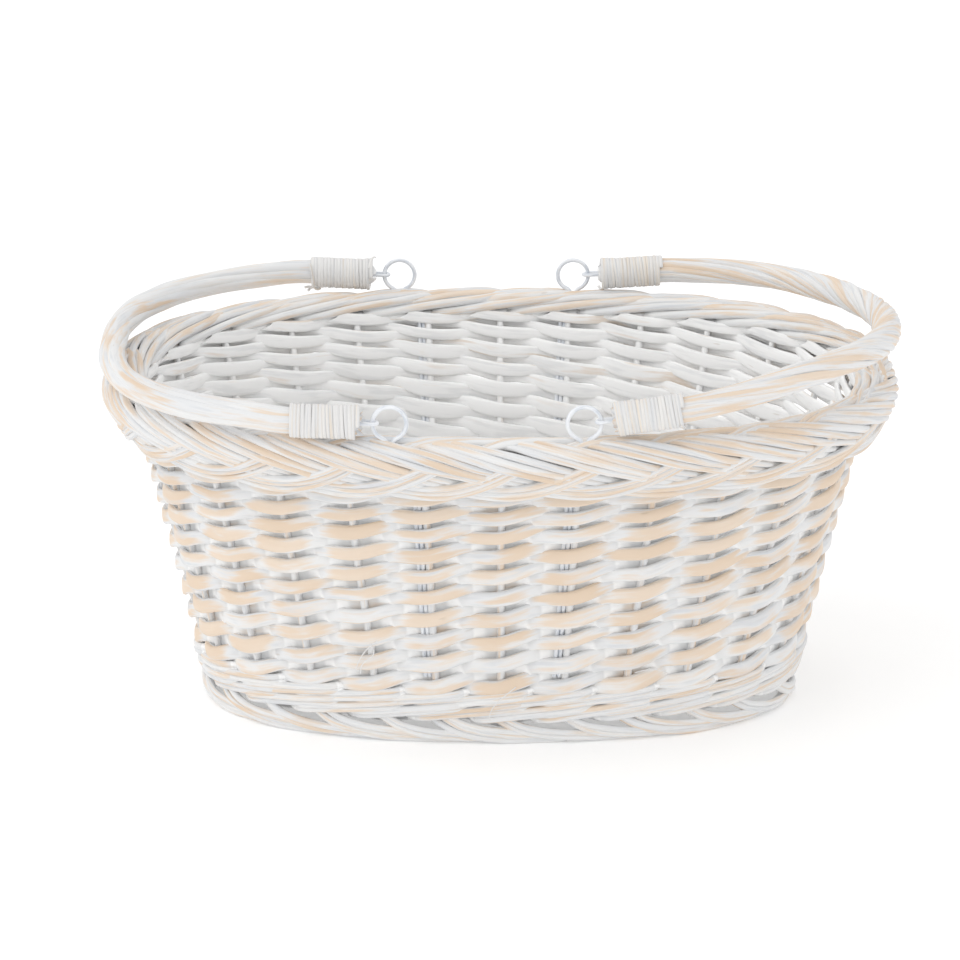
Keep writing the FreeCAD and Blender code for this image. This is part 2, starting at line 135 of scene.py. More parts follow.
def wander(rng, t):
    """Smooth random values from -1 to 1 that change once per unit of t."""
    low = math.floor(t.min())
    knots = rng.uniform(-1, 1, int(t.max() - low) + 3)
    index = np.floor(t - low).astype(int)
    share = eased(t - low - index)
    return knots[index] * (1 - share) + knots[index + 1] * share


def run_along(line):
    """The distance of each point from the line's start."""
    steps = np.linalg.norm(np.diff(line, axis=0), axis=1)
    return np.concatenate([[0.0], np.cumsum(steps)])


def even(line, spacing):
    """The same line with evenly spaced points."""
    run = run_along(line)
    keep = np.concatenate([[True], np.diff(run) > SAME_POINT])
    at = np.linspace(0, run[-1], max(int(run[-1] / spacing), 2) + 1)
    return np.stack([np.interp(at, run[keep], line[keep, axis]) for axis in range(3)], -1)


def rounded(corners, radius, spacing=2.0):
    """A dense line through corners, each rounded by a tangent arc."""
    corners = [np.asarray(corner, float) for corner in corners]
    line = [corners[0]]
    for before, corner, after in zip(corners, corners[1:], corners[2:]):
        way_in, way_out = unit(corner - before), unit(after - corner)
        turn = math.acos(float(np.clip(way_in @ way_out, -1, 1)))
        if turn < STRAIGHT_ENOUGH:
            continue
        shorter = min(np.linalg.norm(corner - before), np.linalg.norm(after - corner))
        reach = min(radius * math.tan(turn / 2), 0.45 * shorter)
        bend = reach / math.tan(turn / 2)
        start = corner - way_in * reach
        inward = unit(way_out - way_in * math.cos(turn))
        for part in np.linspace(0, turn, ARC_STEPS):
            line.append(start + way_in * bend * math.sin(part)
                        + inward * bend * (1 - math.cos(part)))
    line.append(corners[-1])
    return even(np.array(line), spacing)


def smoothed(corners, spacing=2.0, rounds=3):
    """A smooth line near a few given corners, by repeated corner cutting."""
    line = np.array(corners, float)
    for _ in range(rounds):
        cut = np.empty((2 * len(line) - 2, 3))
        cut[0::2] = 0.75 * line[:-1] + 0.25 * line[1:]
        cut[1::2] = 0.25 * line[:-1] + 0.75 * line[1:]
        line = np.concatenate([line[:1], cut, line[-1:]])
    return even(line, spacing)


# ---------------------------------------------------------------- rods

# A rod's lumps: waves round it, millimetres for a radian along it, and share of its unevenness.
LUMPS = ((2, 17, 1.0), (3, -23, 0.7), (0, 9, 0.8))
# Each cut end is domed: a smaller ring a little further out, then one point.
DOME_RING, DOME_RING_REACH, DOME_POINT_REACH = 0.82, 0.16, 0.2
# The grain wraps a cylinder of this radius, and starts anywhere in this length.
GRAIN_RADIUS, GRAIN_STARTS = 3, 9000
# Wear is whole on a rod's face, loses this share at its sides and twice as much at its back.
WEAR_LOSS = 0.5


class Rods:
    """Collects rods as closed tubes, then makes one mesh of them."""

    def __init__(self, seed):
        self.rng = np.random.default_rng(seed)
        self.points, self.quads, self.fans = [], [], []
        self.grain, self.wear, self.tone = [], [], []
        self.count = 0

    def add(self, line, normal, wide, thick, wear=0.5, sides=10, shear=(0.0, 0.0),
            bevel=(0.0, 0.0), uneven=0.03, square=1.0):
        """A tube along a line.

        normal is the direction its face looks, thick its half size that way and wide its half size
        across. shear and bevel slant the cut at each end, through the rod and across it. square
        below one flattens its sides.
        """
        count = len(line)
        wide, thick, wear = (np.broadcast_to(np.asarray(value, float), (count,))
                             for value in (wide, thick, wear))
        along = unit(np.gradient(line, axis=0))
        normal = np.broadcast_to(normal, line.shape)
        face = unit(normal - along * np.sum(normal * along, axis=1, keepdims=True))
        across = np.cross(along, face)
        run = run_along(line)
        turn = np.arange(sides) / sides * TAU
        phases = self.rng.uniform(0, TAU, len(LUMPS))
        lump = 1 + sum(uneven * share * np.sin(waves * turn[None] + phase + run[:, None] / length)
                       for (waves, length, share), phase in zip(LUMPS, phases))
        outer, aside = (np.sign(wave) * np.abs(wave) ** square
                        for wave in (np.cos(turn), np.sin(turn)))
        rings = (line[:, None] + face[:, None] * (thick[:, None] * lump * outer)[..., None]
                 + across[:, None] * (wide[:, None] * lump * aside)[..., None])
        for end in (0, -1):
            slant = (shear[end] * thick[end] * np.cos(turn)
                     + bevel[end] * wide[end] * np.sin(turn))
            rings[end] += along[end] * slant[:, None]

        domes, tips = [], []
        for end, sign in ((0, -1), (-1, 1)):
            middle = rings[end].mean(axis=0)
            reach = along[end] * sign * min(wide[end], thick[end])
            domes.append(middle + (rings[end] - middle) * DOME_RING + reach * DOME_RING_REACH)
            tips.append(middle + reach * DOME_POINT_REACH)
        body = np.concatenate([domes[0][None], rings, domes[1][None]]).reshape(-1, 3)
        cells = np.arange((count + 2) * sides).reshape(count + 2, sides)
        right = np.roll(cells, -1, axis=1)
        quads = np.stack([cells[:-1], right[:-1], right[1:], cells[1:]], -1).reshape(-1, 4)
        first, last = len(body), len(body) + 1
        fans = np.concatenate([np.stack([right[0], cells[0], np.full(sides, first)], -1),
                               np.stack([cells[-1], right[-1], np.full(sides, last)], -1)])
        self.points.append(np.concatenate([body, tips]))
        self.quads.append(quads + self.count)
        self.fans.append(fans + self.count)

        grain_run = np.concatenate([run[:1], run, run[-1:]]) + self.rng.uniform(0, GRAIN_STARTS)
        grain = np.stack(np.broadcast_arrays(np.cos(turn)[None] * GRAIN_RADIUS,
                                             np.sin(turn)[None] * GRAIN_RADIUS,
                                             grain_run[:, None]), -1).reshape(-1, 3)
        self.grain.append(np.concatenate([grain, grain[:1], grain[-1:]]))
        worn = (np.concatenate([wear[:1], wear, wear[-1:]])[:, None]
                * (1 - WEAR_LOSS + WEAR_LOSS * np.cos(turn))[None]).reshape(-1)
        self.wear.append(np.concatenate([worn, worn[:1] / 2, worn[-1:] / 2]))
        self.tone.append(np.full(len(self.points[-1]), self.rng.uniform(0, 1)))
        self.count += len(self.points[-1])

    def mesh(self, name, material, body, slot, *replaced):
        points = np.concatenate(self.points) * MM
        quads, fans = np.concatenate(self.quads), np.concatenate(self.fans)
        corners = np.concatenate([quads.ravel(), fans.ravel()])
        starts = np.concatenate([np.arange(len(quads)) * 4,
                                 quads.size + np.arange(len(fans)) * 3])
        mesh = bpy.data.meshes.new(name)
        mesh.vertices.add(len(points))
        mesh.vertices.foreach_set("co", points.astype(np.float32).ravel())
        mesh.loops.add(len(corners))
        mesh.loops.foreach_set("vertex_index", corners.astype(np.int32))
        mesh.polygons.add(len(starts))
        mesh.polygons.foreach_set("loop_start", starts.astype(np.int32))
        mesh.update(calc_edges=True)
        mesh.validate()
        mesh.shade_smooth()
        for label, kind, key, values in (
                ("grain", "FLOAT_VECTOR", "vector", np.concatenate(self.grain) * MM),
                ("wear", "FLOAT", "value", np.concatenate(self.wear)),
                ("tone", "FLOAT", "value", np.concatenate(self.tone))):
            field = mesh.attributes.new(label, kind, "POINT")
            field.data.foreach_set(key, values.astype(np.float32).ravel())
        mesh.materials.append(material)
        piece = bpy.data.objects.new(name, mesh)
        bpy.context.scene.collection.objects.link(piece)
        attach(piece, body)
        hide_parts(*replaced)
        return piece


# ---------------------------------------------------------------- materials

WASH = (0.825, 0.825, 0.82, 1)
BARE = (0.81, 0.685, 0.565, 1)
SHADE = (0.76, 0.61, 0.47, 1)
# Painted light: the whiter coat painted where wear is low, chiefly inside the basket, to lighten
# its shade.
PAINTED_LIGHT_WHITE = (0.97, 0.97, 0.965, 1)
STREAK = (0.60, 0.625, 0.66, 1)
SPECK = (0.46, 0.36, 0.26, 1)
CANE_WASH = (0.81, 0.80, 0.785, 1)
CANE_BARE = (0.83, 0.765, 0.685, 1)
CANE_SHADE = (0.76, 0.68, 0.585, 1)
WIRE_PAINT = (0.86, 0.88, 0.91, 1)
WIRE_SCUFF = (0.66, 0.70, 0.76, 1)
# Thicker wash is a little darker, and least so in blue.
THICK_WASH = (0.93, 0.94, 0.96)

# Noise drawn out along a rod: waves per metre across it and along it, and levels of detail.
FIBRES = (900, 45, 3.0)
BRUSH_MARKS = (330, 28, 3.0)
PATCHES = (120, 22, 2.0)
BLOTCHES = (60, 9, 2.0)
SPECKS = (420, 60, 1.0)
SCUFFS = (260, 120, 3.0)
WIRE_RUNS = (420, 60, 3.0)
NOISE_ROUGHNESS = 0.55


def add_node(tree, kind, inputs=(), **settings):
    node = tree.nodes.new("ShaderNode" + kind)
    for name, value in settings.items():
        setattr(node, name, value)
    for name, value in dict(inputs).items():
        set_input(tree, node.inputs[name], value)
    return node


def set_input(tree, socket, value):
    if isinstance(value, bpy.types.NodeSocket):
        tree.links.new(value, socket)
    else:
        socket.default_value = value


def new_material(name):
    material = bpy.data.materials.new(name)
    material.use_nodes = True
    tree = material.node_tree
    return material, tree, tree.nodes["Principled BSDF"]


def attribute(tree, name, output="Fac"):
    return add_node(tree, "Attribute", attribute_name=name).outputs[output]


def maths(tree, operation, a, b):
    return add_node(tree, "Math", {0: a, 1: b}, operation=operation).outputs[0]


def remap(tree, value, low, high, to_low=0.0, to_high=1.0):
    inputs = {"Value": value, "From Min": low, "From Max": high,
              "To Min": to_low, "To Max": to_high}
    node = add_node(tree, "MapRange", inputs, interpolation_type="SMOOTHSTEP")
    return node.outputs["Result"]


def mix_colour(tree, share, low, high):
    node = add_node(tree, "Mix", data_type="RGBA")
    for socket, value in ((0, share), (6, low), (7, high)):
        set_input(tree, node.inputs[socket], value)
    return node.outputs[2]


def streaks(tree, grain, waves):
    across, along, detail = waves
    stretched = add_node(tree, "Mapping", {"Vector": grain, "Scale": (across, across, along)})
    noise = add_node(tree, "TexNoise", {"Vector": stretched.outputs[0], "Scale": 1.0,
                                        "Detail": detail, "Roughness": NOISE_ROUGHNESS})
    return noise.outputs["Fac"]


def add_relief(tree, shader, height, strength, distance):
    relief = add_node(tree, "Bump", {"Height": height, "Strength": strength,
                                     "Distance": distance})
    tree.links.new(relief.outputs[0], shader.inputs["Normal"])


def whitewashed(name, wash, bare, shade, worn_from, worn_to, bump):
    """Peeled wood under a thin, worn coat of white; it is bare where the rods stand proud."""
    material, tree, shader = new_material(name)
    grain = attribute(tree, "grain", "Vector")
    wear = attribute(tree, "wear")
    fibre = streaks(tree, grain, FIBRES)
    brushed = streaks(tree, grain, BRUSH_MARKS)
    patch = streaks(tree, grain, PATCHES)
    blotch = streaks(tree, grain, BLOTCHES)

    worn = wear
    for uneven in (remap(tree, patch, 0.3, 0.7, -0.3, 0.26),
                   remap(tree, brushed, 0.3, 0.7, -0.36, 0.34),
                   remap(tree, attribute(tree, "tone"), 0.0, 1.0, -0.14, 0.14)):
        worn = maths(tree, "ADD", worn, uneven)
    worn = remap(tree, worn, worn_from, worn_to)

    wood = mix_colour(tree, remap(tree, blotch, 0.35, 0.65), bare, shade)
    wood = mix_colour(tree, remap(tree, fibre, 0.35, 0.75, 0.0, 0.35), wood, shade)

    thick_wash = tuple(part * darker for part, darker in zip(wash, THICK_WASH)) + (1,)
    coat = mix_colour(tree, remap(tree, blotch, 0.3, 0.7), wash, thick_wash)
    coat = mix_colour(tree, remap(tree, fibre, 0.5, 0.78, 0.0, 0.22), coat, shade)
    # Painted light: the coat is painted whiter where wear is low, on the backs of the rods and so
    # all over the inside of the basket, to lighten the inside that lies in shade. It is thin and
    # grey in brush marks.
    painted_light_share = maths(tree, "MULTIPLY", remap(tree, wear, 0.16, 0.06),
                  remap(tree, brushed, 0.36, 0.5, 0.6, 1.0))
    coat = mix_colour(tree, painted_light_share, coat, PAINTED_LIGHT_WHITE)
    streaky = maths(tree, "MULTIPLY", remap(tree, brushed, 0.48, 0.3),
                    remap(tree, wear, 0.05, 0.5, 0.1, 0.5))
    coat = mix_colour(tree, streaky, coat, STREAK)

    colour = mix_colour(tree, worn, coat, wood)
    specks = remap(tree, streaks(tree, grain, SPECKS), 0.74, 0.82, 0.0, 0.4)
    tree.links.new(mix_colour(tree, specks, colour, SPECK), shader.inputs["Base Color"])
    tree.links.new(remap(tree, worn, 0.0, 1.0, 0.82, 0.58), shader.inputs["Roughness"])
    shader.inputs["Specular IOR Level"].default_value = 0.35
    height = maths(tree, "ADD", maths(tree, "MULTIPLY", fibre, 0.5),
                   maths(tree, "MULTIPLY", brushed, 0.8))
    height = maths(tree, "SUBTRACT", height, maths(tree, "MULTIPLY", worn, 0.25))
    add_relief(tree, shader, height, bump, 0.6 * MM)
    return material


def painted_wire(name):
    """Steel wire under thin off-white paint with duller, greyer scuffs."""
    material, tree, shader = new_material(name)
    grain = attribute(tree, "grain", "Vector")
    scuff = streaks(tree, grain, SCUFFS)
    colour = mix_colour(tree, remap(tree, scuff, 0.42, 0.66), WIRE_PAINT, WIRE_SCUFF)
    tree.links.new(colour, shader.inputs["Base Color"])
    tree.links.new(remap(tree, scuff, 0.4, 0.7, 0.30, 0.55), shader.inputs["Roughness"])
    tree.links.new(remap(tree, scuff, 0.5, 0.7, 0.0, 0.25), shader.inputs["Metallic"])
    add_relief(tree, shader, streaks(tree, grain, WIRE_RUNS), 0.3, 0.3 * MM)
    return material


willow = whitewashed("whitewashed_willow", WASH, BARE, SHADE, 0.32, 0.98, bump=0.35)
cane = whitewashed("whitewashed_cane", CANE_WASH, CANE_BARE, CANE_SHADE, 0.4, 1.1, bump=0.5)
wire = painted_wire("painted_wire")

# ---------------------------------------------------------------- wall

# A weaver passes this many stakes. It climbs a row every two, and the rows get closer near the top.
STROKES = 24
WEAVER_FOOT = 30.2
CLIMB, CLIMB_LOSS, TIGHTER_FROM = 7.35, 0.084, 7
# How far each end runs past its stake, and the step between points, in places.
WEAVER_BEFORE, WEAVER_AFTER, WEAVER_STEP = 0.2, 0.34, 0.035
# Half sizes of a weaver at its start and its end: over a stake, between stakes, behind a stake.
WEAVER_OUTSIDE = (4.5, 3.0)
WEAVER_BETWEEN = (4.1, 2.9)
WEAVER_INSIDE = (6.1, 3.5)
WEAVER_THICK = (1.9, 1.5)
WEAVER_TAPER, INSIDE_SPREAD, INSIDE_THINNER = 2.2, 0.85, 0.25
# How far a weaver swings out and in, how far out its middle lies, and how long it stays there.
WEAVER_SWING, WEAVER_LEAN, WEAVER_HOLD = 3.3, 0.5, 1.15
# How steeply the strokes rise past a stake, compared with a straight climb.
HOOK_OUTSIDE, HOOK_INSIDE = 0.95, 0.35
CROWN_WEAR, CROWN_REACH, CROWN_FADE = 1.03, 0.7, 0.5
INSIDE_WEAR, INSIDE_WEAR_FROM = 0.3, 0.6


def weaver_level(t):
    """Height of a weaver t stakes from its start; it lies flat before a stake and rises after."""
    hook = ((HOOK_OUTSIDE + HOOK_INSIDE) / 2
            - (HOOK_OUTSIDE - HOOK_INSIDE) / 2 * np.cos(math.pi * t))
    tighter = CLIMB_LOSS * np.maximum(t - TIGHTER_FROM, 0) ** 2
    return WEAVER_FOOT + CLIMB * (t - hook * np.cos(TAU * t) / TAU) - tighter


def add_weaver(rods, first):
    """A rod that starts inside the first stake, then goes outside one stake and inside the next."""
    rng = rods.rng
    t = np.arange(-WEAVER_BEFORE, STROKES + WEAVER_AFTER, WEAVER_STEP)
    swing = np.where(t > STROKES, -1.0, -np.cos(math.pi * t))
    outer, inner = np.clip(swing, 0, 1), np.clip(-swing, 0, 1) ** INSIDE_SPREAD
    share = np.clip(t / STROKES, 0, 1) ** WEAVER_TAPER

    def along_rod(sizes):
        return sizes[0] + (sizes[1] - sizes[0]) * share

    between = along_rod(WEAVER_BETWEEN)
    wide = (between + outer * (along_rod(WEAVER_OUTSIDE) - between)
            + inner * (along_rod(WEAVER_INSIDE) - between))
    size = 1 + 0.07 * wander(rng, t) + 0.05 * rng.uniform(-1, 1)
    thick = along_rod(WEAVER_THICK) * (0.6 + 0.4 * size) * (1 - INSIDE_THINNER * inner)
    held = np.tanh(WEAVER_HOLD * swing) / math.tanh(WEAVER_HOLD)
    outward = WEAVER_LEAN + WEAVER_SWING * held + 0.3 * wander(rng, t * 2)
    level = weaver_level(t) + 0.5 * wander(rng, t)
    from_crown = np.abs(t - 2 * np.round((t - 1) / 2) - 1)
    worn = ((CROWN_WEAR + 0.2 * wander(rng, t / 2)) * (0.8 + 0.2 * share)
            * ramp(CROWN_REACH - from_crown, 0, CROWN_FADE))
    worn = np.maximum(worn, INSIDE_WEAR * ramp(from_crown, INSIDE_WEAR_FROM, 1.0))
    rods.add(wall(first + t, level, outward), outward_at(first + t, level), wide * size, thick,
             wear=worn, sides=12, bevel=(0.8, 1.6), uneven=0.05, square=0.62)


def wall_weavers():
    """One weaver from each stake, so the next row starts all round at once."""
    for number in range(STAKES):
        rods = Rods(SEED_WEAVERS + number)
        add_weaver(rods, number)
        node = "wall_weaver_%02d" % (number + 1)
        rods.mesh(node + "_rod", willow, "basket", "willow", node)


# ---------------------------------------------------------------- base

BASE_LEVEL = 12.5
# Cross sticks on each side of the middle one, and long sticks in the spine.
CROSS_STICKS, SPINE_STICKS = 4, 4
SPINE_END, SPINE_SIDE, SPINE_SPACING = 78.0, 18.0, 9.0
# The long sticks rise this much over the cross sticks, within this share of the spine.
SPINE_LIFT, SPINE_LIFTED = 4.6, 0.8
STICK_SPREAD = 0.42
STICK_BEND = 12.0
# Sticks end and stakes' feet start at these shares of the way from the spine to the wall.
STICK_END, FOOT_START = 0.69, 0.70
STICK_WEAR = 0.6
BASE_ROD = 2.0
BASE_LIFT = 4.0
BASE_ROUNDS = 15
BASE_FIRST_ROUND, BASE_LAST_ROUND = 0.08, 0.92


def base_inner(place):
    """Where a stick turns towards a stake: on the spine's ends or along its two sides."""
    corner = wall(place, BASE_LEVEL)
    if abs(place % HALF_ROUND - HALF_ROUND / 2) < SPINE_STICKS / 2:
        first = CROSS_STICKS + 1
        order = place - first if place < HALF_ROUND else STAKES - first - place
        aside = (order - (SPINE_STICKS - 1) / 2) * SPINE_SPACING
        return np.array([math.copysign(SPINE_END, corner[0]), aside, BASE_LEVEL])
    return np.array([STICK_SPREAD * corner[0], math.copysign(SPINE_SIDE, corner[1]), BASE_LEVEL])


def base_point(place, share):
    inner = base_inner(place)
    return inner + (wall(place, BASE_LEVEL) - inner) * share


def base_sticks():
    """The cross sticks, and over them the long sticks of the spine."""
    rods = Rods(SEED_STICKS)

    def add_stick(corners):
        rods.add(rounded(corners, STICK_BEND), UP, STAKE_RADIUS, STAKE_RADIUS, wear=STICK_WEAR)

    for place in range(-CROSS_STICKS, CROSS_STICKS + 1):
        front, back = place % STAKES, HALF_ROUND - place
        add_stick([base_point(front, STICK_END), base_inner(front),
                   base_inner(back), base_point(back, STICK_END)])
    for right in range(CROSS_STICKS + 1, CROSS_STICKS + 1 + SPINE_STICKS):
        left = STAKES - right
        ends = base_inner(left), base_inner(right)
        tops = [end * np.array([SPINE_LIFTED, 1, 1]) + UP * SPINE_LIFT for end in ends]
        add_stick([base_point(left, STICK_END), ends[0], *tops, ends[1],
                   base_point(right, STICK_END)])
    rods.mesh("base_stick_rods", willow, "basket", "willow",
              "base_cross_sticks", "base_long_sticks")


def base_weave():
    """Rounds of thin rod, over and under every second stick, packed close to the wall."""
    rods = Rods(SEED_BASE_WEAVE)
    shares = np.linspace(BASE_FIRST_ROUND, BASE_LAST_ROUND, BASE_ROUNDS)
    for number, share in enumerate(shares):
        corners = []
        for place in range(STAKES):
            side = 1 if (place + number) % 2 else -1
            corners.append(base_point(place, share) + UP * side * BASE_LIFT)
        corners.append(corners[0])
        line = smoothed(corners, rounds=2)
        rods.add(line, UP, BASE_ROD * 1.1, BASE_ROD, wear=0.3, sides=8)
    rods.mesh("base_weave_rounds", willow, "basket", "willow", "base_weave_rods")


# ---------------------------------------------------------------- stakes

# Levels between which a stake is straight, and how far it may lean, in places.
STAKE_LEVELS = (60.0, 120.0, 182.0)
STAKE_LEAN = 0.035
STAKE_BEND = 8.0


def side_stakes():
    """The uprights, each with its foot in the base and its top in the border."""
    rods = Rods(SEED_STAKES)
    rng = rods.rng
    for place in range(STAKES):
        top_lean, foot_lean = rng.uniform(-STAKE_LEAN, STAKE_LEAN, 2)
        corners = [base_point(place, FOOT_START), wall(place, BASE_LEVEL),
                   wall(place + foot_lean, STAKE_LEVELS[0]),
                   wall(place - foot_lean * 0.5, STAKE_LEVELS[1]),
                   wall(place + top_lean, STAKE_LEVELS[2])]
        line = rounded(corners, STAKE_BEND, 2.5)
        uneven = 1 + 0.04 * wander(rng, np.linspace(0, 9, len(line)))
        radius = STAKE_RADIUS * np.linspace(1.06, 0.92, len(line)) * uneven
        facing = outward_at(np.full(len(line), float(place)), line[:, 2])
        rods.add(line, facing, radius, radius, wear=0.4, sides=12)
    rods.mesh("side_stake_rods", willow, "basket", "willow", "side_stakes")


# ---------------------------------------------------------------- foot border

FOOT_ROD = 2.0
# A foot band: millimetres along, level and distance out from the stakes.
FOOT_KEYS = ((-13, 22.0, -1.5), (-6, 17.5, 0.5), (0, 13.2, 3.4), (8, 9.0, 5.6), (19, 6.4, 6.4),
             (32, 4.8, 5.8), (47, 3.7, 4.6), (63, 3.0, 3.2), (79, 2.5, 2.0))
# The rods of a band lie above each other at these rows, closer where the band has come down.
FOOT_PAIR, FOOT_THREE, SHARE_OF_PAIRS = (-0.5, 0.5), (-0.9, 0.0, 0.9), 0.7
FOOT_ROW, FOOT_CLOSER, FOOT_CLOSING = 2.9, 0.5, (25, 75)
FOOT_AHEAD = 0.12
SHARE_CUT_SHORT = 0.3


def foot_border():
    """A band of two or three thin rods from beside each stake, laid down along the ground."""
    rods = Rods(SEED_FOOT)
    rng = rods.rng
    step = pitch(0.0)
    for place in range(STAKES):
        for row in FOOT_PAIR if rng.uniform() < SHARE_OF_PAIRS else FOOT_THREE:
            radius = FOOT_ROD * rng.uniform(0.88, 1.08)
            keys = np.array(FOOT_KEYS, float)
            keys[:, 0] += rng.uniform(-3, 3)
            if rng.uniform() < SHARE_CUT_SHORT:
                keys = keys[:-1]
            along, level, outward = smoothed(keys, rounds=2).T
            level = level + row * FOOT_ROW * (1 - FOOT_CLOSER * ramp(along, *FOOT_CLOSING))
            level = np.maximum(level + 0.3 * wander(rng, along / 18), radius)
            outward = outward + 0.4 * wander(rng, along / 20) - 0.25 * row
            at = place + FOOT_AHEAD + along / step
            rods.add(wall(at, level, outward), outward_at(at, level), radius, radius, wear=0.44,
                     shear=(0, 1.5))
    rods.mesh("foot_band_rods", willow, "basket", "willow", "foot_border_rods")


# ---------------------------------------------------------------- wale

WALE_ROD = 1.85
WALE_LEVELS = (20.0, 27.6)
WALE_RISE = 4.6
# A stroke spans this many stakes; it comes out, climbs over the rod before it, and goes back in.
WALE_SPAN = 3
WALE_OUT, WALE_OVER, WALE_IN = (0.2, 0.85), (1.2, 2.0), (2.2, 2.85)
# Fibres torn loose at the front: millimetres along from the middle, level and distance out.
LOOSE_FIBRES = (((8, 38, 7.0), (4, 35, 9.5), (-3, 28, 10.5), (-6, 21, 9.5), (-6, 16, 7.0)),
                ((-62, 66, 5.5), (-66, 63, 8.5), (-71, 56, 9.0), (-75, 47, 7.0)),
                ((-66, 64, 6.0), (-63, 58, 9.0), (-71, 52, 9.5), (-73, 44, 6.5)),
                ((70, 44, 5.0), (75, 47, 8.0), (83, 46, 8.5), (88, 42, 6.0)))
FIBRE_LEVEL = 30.0


def wale():
    """Two rows of strokes; each is a pair of thin rods, outside two stakes and inside one."""
    rods = Rods(SEED_WALE)
    rng = rods.rng
    for base in WALE_LEVELS:
        for start in range(STAKES):
            for half in (-1, 1):
                radius = WALE_ROD * rng.uniform(0.9, 1.15)
                tail = rng.uniform(0.15, 0.4)
                t = np.arange(-tail, WALE_SPAN + tail, 0.05)
                side = 2 * ramp(t, *WALE_OUT) * (1 - ramp(t, *WALE_IN)) - 1
                outward = ((STAKE_RADIUS + radius + 0.4) * side
                           + 0.9 * ramp(t, *WALE_OVER) * (side > 0))
                outward += 0.3 * wander(rng, t * 1.5)
                level = (base + (t - WALE_SPAN / 2) * WALE_RISE + half * 1.5
                         + 0.35 * wander(rng, t))
                level = np.where(side < 0, base + 0.45 * (level - base), level)
                worn = np.where(side > 0, 0.52, 0.3) * ramp(np.abs(side), 0.3, 1.0)
                at = start + t
                rods.add(wall(at, level, outward), outward_at(at, level), radius * 1.05, radius,
                         wear=worn, shear=(1.5, 1.5))
    for keys in LOOSE_FIBRES:
        along, level, outward = smoothed(keys, 1.0).T
        at = along / pitch(FIBRE_LEVEL)
        rods.add(wall(at, level, outward), outward_at(at, level), 0.3, 0.25, wear=0.2, sides=6)
    rods.mesh("wale_rods", willow, "basket", "willow", "lower_wale_rod_1", "lower_wale_rod_2",
              "upper_wale_rod_1", "upper_wale_rod_2")


# ---------------------------------------------------------------- plaited border

RIM_ROD = 1.85
RIM_SPREAD = 3.15
RIM_CORE = 6.0
# Rods laid inside the border: distance out, level and radius.
RIM_CORES = ((2.0, 182.0, 3.6), (10.2, 177.0, 3.8), (6.0, 185.6, 3.8), (9.6, 183.0, 3.8),
             (10.0, 170.5, 3.0))
RIM_CORE_POINTS = 520
RIM_LEVEL = 181.2
# The border's section: its ridge is round, and its outside falls away inwards by the lean.
RIM_BEND = 11.2
RIM_LAYERS = (9.5, 12.9)
RIM_LEAN = 0.30
RIM_STEP = 1.05
# A strand over its whole run: millimetres along, millimetres down the outside from the ridge
# (below zero, down the inside), and layer, from 0 underneath to 1 on top.
RIM_KEYS = ((-34, -9.5, -0.9), (-24, -7.0, -0.7), (-12, -4.0, -0.3), (-2, -0.5, 0.3),
            (9, 3, 1.0), (24, 7, 1.0), (44, 12, 1.0), (64, 17, 1.0), (80, 21.5, 0.9),
            (92, 25, 0.3), (104, 28.5, 0.0), (116, 31.5, 0.0), (128, 33.6, 0.2),
            (142, 34.4, 0.7), (156, 33.0, 1.0), (170, 29.0, 1.0), (182, 23.5, 1.0),
            (192, 18, 0.6), (202, 12.5, 0.0), (214, 6.5, 0.0), (224, 2.5, 0.4),
            (236, -1.6, 1.0), (254, -3.6, 1.0), (272, -5.2, 0.9), (289, -6.6, 0.5),
            (304, -7.9, 0.0), (316, -9.0, -0.6))
# Rods are thicker on the way down and on the ridge: from and to along the strand, and by how much.
RIM_DOWN, RIM_DOWN_THICKER, RIM_LOWER_EDGE = (2, 16), 0.18, 110
RIM_RIDGE, RIM_RIDGE_THICKER = (218, 246), 0.3


def rim_point(place, depth, bend):
    """A point some way down the rim's outside (or, below zero, its inside), and its facing."""
    quarter = RIM_BEND * math.pi / 2
    angle = np.clip(depth / RIM_BEND, -math.pi / 2, math.pi / 2)
    fallen = np.maximum(np.abs(depth) - quarter, 0)
    lean = np.where(depth > 0, RIM_LEAN, 0.0)
    outward = RIM_CORE + bend * np.sin(angle) - lean * fallen
    level = RIM_LEVEL + bend * np.cos(angle) - fallen
    facing = outward_at(place, level) * np.sin(angle)[:, None] + UP * np.cos(angle)[:, None]
    return wall(place, level, outward), facing


